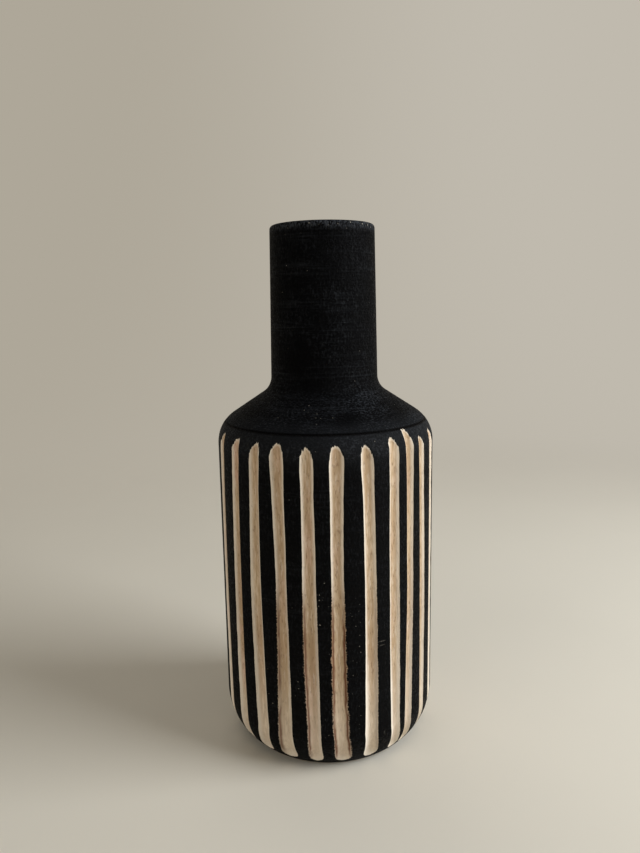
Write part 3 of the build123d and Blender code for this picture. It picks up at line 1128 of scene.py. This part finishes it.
class VASE_OT_fluted_barrel(bpy.types.Operator):
    """Turn the barrel and gouge its flutes"""

    bl_idname = "vase.fluted_barrel"
    bl_label = "Fluted Barrel"

    def execute(self, context):
        scene = context.scene
        turning, flutes, colours = scene.vase_turning, scene.vase_flutes, scene.vase_finish
        line, outside = barrel_outline(turning)
        piece = outline_object("fluted_barrel", line, lambda row: row < outside, lambda row: row <= outside)
        marks = self.mark_out(turning, flutes)
        slope = atan2(turning.shoulder_rise, turning.barrel_radius - turning.neck_root_radius)
        settings = {
            "Flute Marks": marks,
            "Finish": fluted_finish(colours, turning.barrel_radius),
            "Rounding Start": turning.barrel_height - turning.shoulder_round * tan((pi / 2 - slope) / 2),
            "End Start": self.run_at(line, flutes.end_height, outside) - flutes.end_run,
            **labelled(turning, TURNING_INPUTS),
            **labelled(flutes, FLUTE_INPUTS),
        }
        made_plain(piece, barrel_tree(), settings)
        bpy.data.objects.remove(marks)
        settle(piece, ["barrel"])
        return {"FINISHED"}

    @staticmethod
    def run_at(line, height, outside):
        """How far along the outside a height lies."""
        lower = next(row for row in range(outside) if line[row].y <= height)
        return sum((line[row + 1] - line[row]).length for row in range(lower))

    @staticmethod
    def mark_out(turning, flutes):
        """One point for each flute, and the first once more after a full turn."""
        def at_marks(size, shares):
            return [size * one for one in (*shares, shares[0])]

        radius, half_height = turning.barrel_radius, turning.barrel_height / 2
        gaps = accumulate(STEP_SHARES, initial=0.0)
        angles = [flutes.first_angle + 2 * pi * gone / sum(STEP_SHARES) for gone in gaps]
        marks = mesh_object("flute_marks", [(radius * cos(a), radius * sin(a), half_height) for a in angles])
        for name, columns in {
            "course": (angles, at_marks(flutes.drift, DRIFT_SHARES), at_marks(flutes.bow, BOW_SHARES)),
            "section": (
                at_marks(flutes.width, WIDTH_SHARES),
                at_marks(flutes.pinch, PINCH_SHARES),
                at_marks(flutes.taper, TAPER_SHARES),
            ),
            "ends": (
                at_marks(flutes.tip_lift, TIP_SHARES),
                at_marks(flutes.tip_lean, LEAN_SHARES),
                at_marks(flutes.slip, SLIP_SHARES),
            ),
            "stain": [at_marks(1.0, s) for s in (PINK_SHARES, LEFT_BURNISH_AND_HIGHLIGHT_SHARES, RIGHT_BURNISH_SHARES)],
        }.items():
            keep_on_points(marks.data, name, "FLOAT_VECTOR", zip(*columns))
        return marks


class VASE_OT_turned_neck(bpy.types.Operator):
    """Turn the neck and shoulder, with the mouth bored through them"""

    bl_idname = "vase.turned_neck"
    bl_label = "Turned Neck"

    stained_depth: length("Stained depth", "How far the stain goes down the mouth", 22 * MM)

    def execute(self, context):
        turning, colours = context.scene.vase_turning, context.scene.vase_finish
        line, outside = neck_outline(turning)
        stained_from = RIM_HEIGHT - self.stained_depth

        def stained(row):
            return row <= outside + 1 and (line[row].x > MOUTH_RADIUS or line[row].y > stained_from)

        def worked(row):
            return row < outside and line[row].x > MOUTH_RADIUS

        piece = outline_object("turned_neck", line, worked, stained)
        finish = neck_finish(colours, turning)
        made_plain(piece, neck_tree(), {"Finish": finish, "Columns": NECK_COLUMNS, "Ripple": turning.ripple})
        settle(piece, ["neck"])
        return {"FINISHED"}


class VASE_OT_base_disc(bpy.types.Operator):
    """Give the base disc its bare wood"""

    bl_idname = "vase.base_disc"
    bl_label = "Base Disc"

    def execute(self, context):
        disc = frame["nodes"]["base_disc"]
        disc.data.materials.clear()
        disc.data.materials.append(disc_finish(context.scene.vase_finish))
        return {"FINISHED"}


class VASE_OT_stage(bpy.types.Operator):
    """Set up the floor, the lamps and the camera"""

    bl_idname = "vase.stage"
    bl_label = "Stage"

    def execute(self, context):
        stage = context.scene.vase_stage
        self.lay_floor(stage)
        middle = Vector((0, 0, RIM_HEIGHT / 2))
        for name, (place, size, glossy) in LAMPS.items():
            tint = stage.daylight if name == "key" else stage.warmth
            power = getattr(stage, f"{name}_power")
            self.hang_lamp(name, Vector(place), middle, size, power, tint, glossy)
        world = bpy.data.worlds.new("soft_room")
        world.use_nodes = True
        world.node_tree.nodes["Background"].inputs["Color"].default_value = (*stage.warmth, 1)
        world.node_tree.nodes["Background"].inputs["Strength"].default_value = stage.ambient
        context.scene.world = world
        context.scene.view_settings.view_transform = "Standard"
        context.scene.camera = self.place_camera(stage)
        return {"FINISHED"}

    @staticmethod
    def lay_floor(stage):
        """A flat floor that curves up all round into a backdrop, so no horizon shows from any side."""
        line = [(stage.floor_radius * ring / FLOOR_RINGS, 0.0) for ring in range(1, FLOOR_RINGS + 1)]
        for ring in range(1, BOWL_RINGS):
            angle = pi / 2 * ring / (BOWL_RINGS - 1)
            out, up = stage.bowl_rise * sin(angle), stage.bowl_rise * (1 - cos(angle))
            line.append((stage.floor_radius + out, up))
        turns = [2 * pi * side / RING_POINTS for side in range(RING_POINTS)]
        points = [(0.0, 0.0, 0.0)]
        for radius, height in line:
            points += [(radius * cos(angle), radius * sin(angle), height) for angle in turns]
        pairs = [(side, (side + 1) % RING_POINTS) for side in range(RING_POINTS)]
        faces = [(0, 1 + side, 1 + after) for side, after in pairs]
        for ring in range(len(line) - 1):
            inner, outer = 1 + ring * RING_POINTS, 1 + (ring + 1) * RING_POINTS
            faces += [(inner + side, outer + side, outer + after, inner + after) for side, after in pairs]
        floor = mesh_object("pale_floor", points, faces)
        floor.data.shade_smooth()
        floor.data.materials.append(stage_finish(stage))

    @staticmethod
    def hang_lamp(name, place, target, size, power, tint, glossy):
        """A soft square lamp that faces the vase, and shows in glossy surfaces or not."""
        lamp = bpy.data.lights.new(name, "AREA")
        lamp.size = size
        lamp.energy = power
        lamp.color = tint
        hung = linked(name, lamp)
        hung.location = place
        hung.rotation_euler = (target - place).to_track_quat("-Z", "Y").to_euler()
        hung.visible_camera = False
        hung.visible_glossy = glossy

    @staticmethod
    def place_camera(stage):
        """Camera in front of the vase, a little above its middle."""
        camera = bpy.data.cameras.new("front")
        camera.lens = stage.focal
        camera.sensor_width = SENSOR_SIDE
        placed = linked("front", camera)
        placed.location = (-stage.offset, -stage.distance, stage.height)
        placed.rotation_mode = "ZYX"
        placed.rotation_euler = (pi / 2 - stage.pitch, 0, -stage.roll)
        return placed


class VASE_PT_sidebar(bpy.types.Panel):
    """Every step of the vase, and the values that shape it"""

    bl_idname = "VASE_PT_sidebar"
    bl_label = "Fluted Bottle Vase"
    bl_space_type = "VIEW_3D"
    bl_region_type = "UI"
    bl_category = "Vase"

    def draw(self, context):
        for step in STEPS:
            self.layout.operator(step.bl_idname)
        for title, group in GROUPS.items():
            box = self.layout.box()
            box.label(text=title.replace("_", " ").title())
            for name in group.__annotations__:
                box.prop(getattr(context.scene, title), name)


GROUPS = {
    "vase_turning": VaseTurning,
    "vase_flutes": VaseFlutes,
    "vase_finish": VaseFinish,
    "vase_stage": VaseStage,
}
STEPS = (VASE_OT_fluted_barrel, VASE_OT_turned_neck, VASE_OT_base_disc, VASE_OT_stage)


def register():
    """Make the classes known to Blender and hang the properties on the scene."""
    for kind in (*GROUPS.values(), *STEPS, VASE_PT_sidebar):
        bpy.utils.register_class(kind)
    for name, group in GROUPS.items():
        setattr(bpy.types.Scene, name, bpy.props.PointerProperty(type=group))


def unregister():
    """Take the properties and the classes away again."""
    for name in GROUPS:
        delattr(bpy.types.Scene, name)
    for kind in reversed((*GROUPS.values(), *STEPS, VASE_PT_sidebar)):
        bpy.utils.unregister_class(kind)


def main():
    """Dress the vase step by step."""
    register()
    bpy.ops.vase.fluted_barrel()
    bpy.ops.vase.turned_neck()
    bpy.ops.vase.base_disc()
    bpy.ops.vase.stage()


if __name__ == "__main__":
    main()
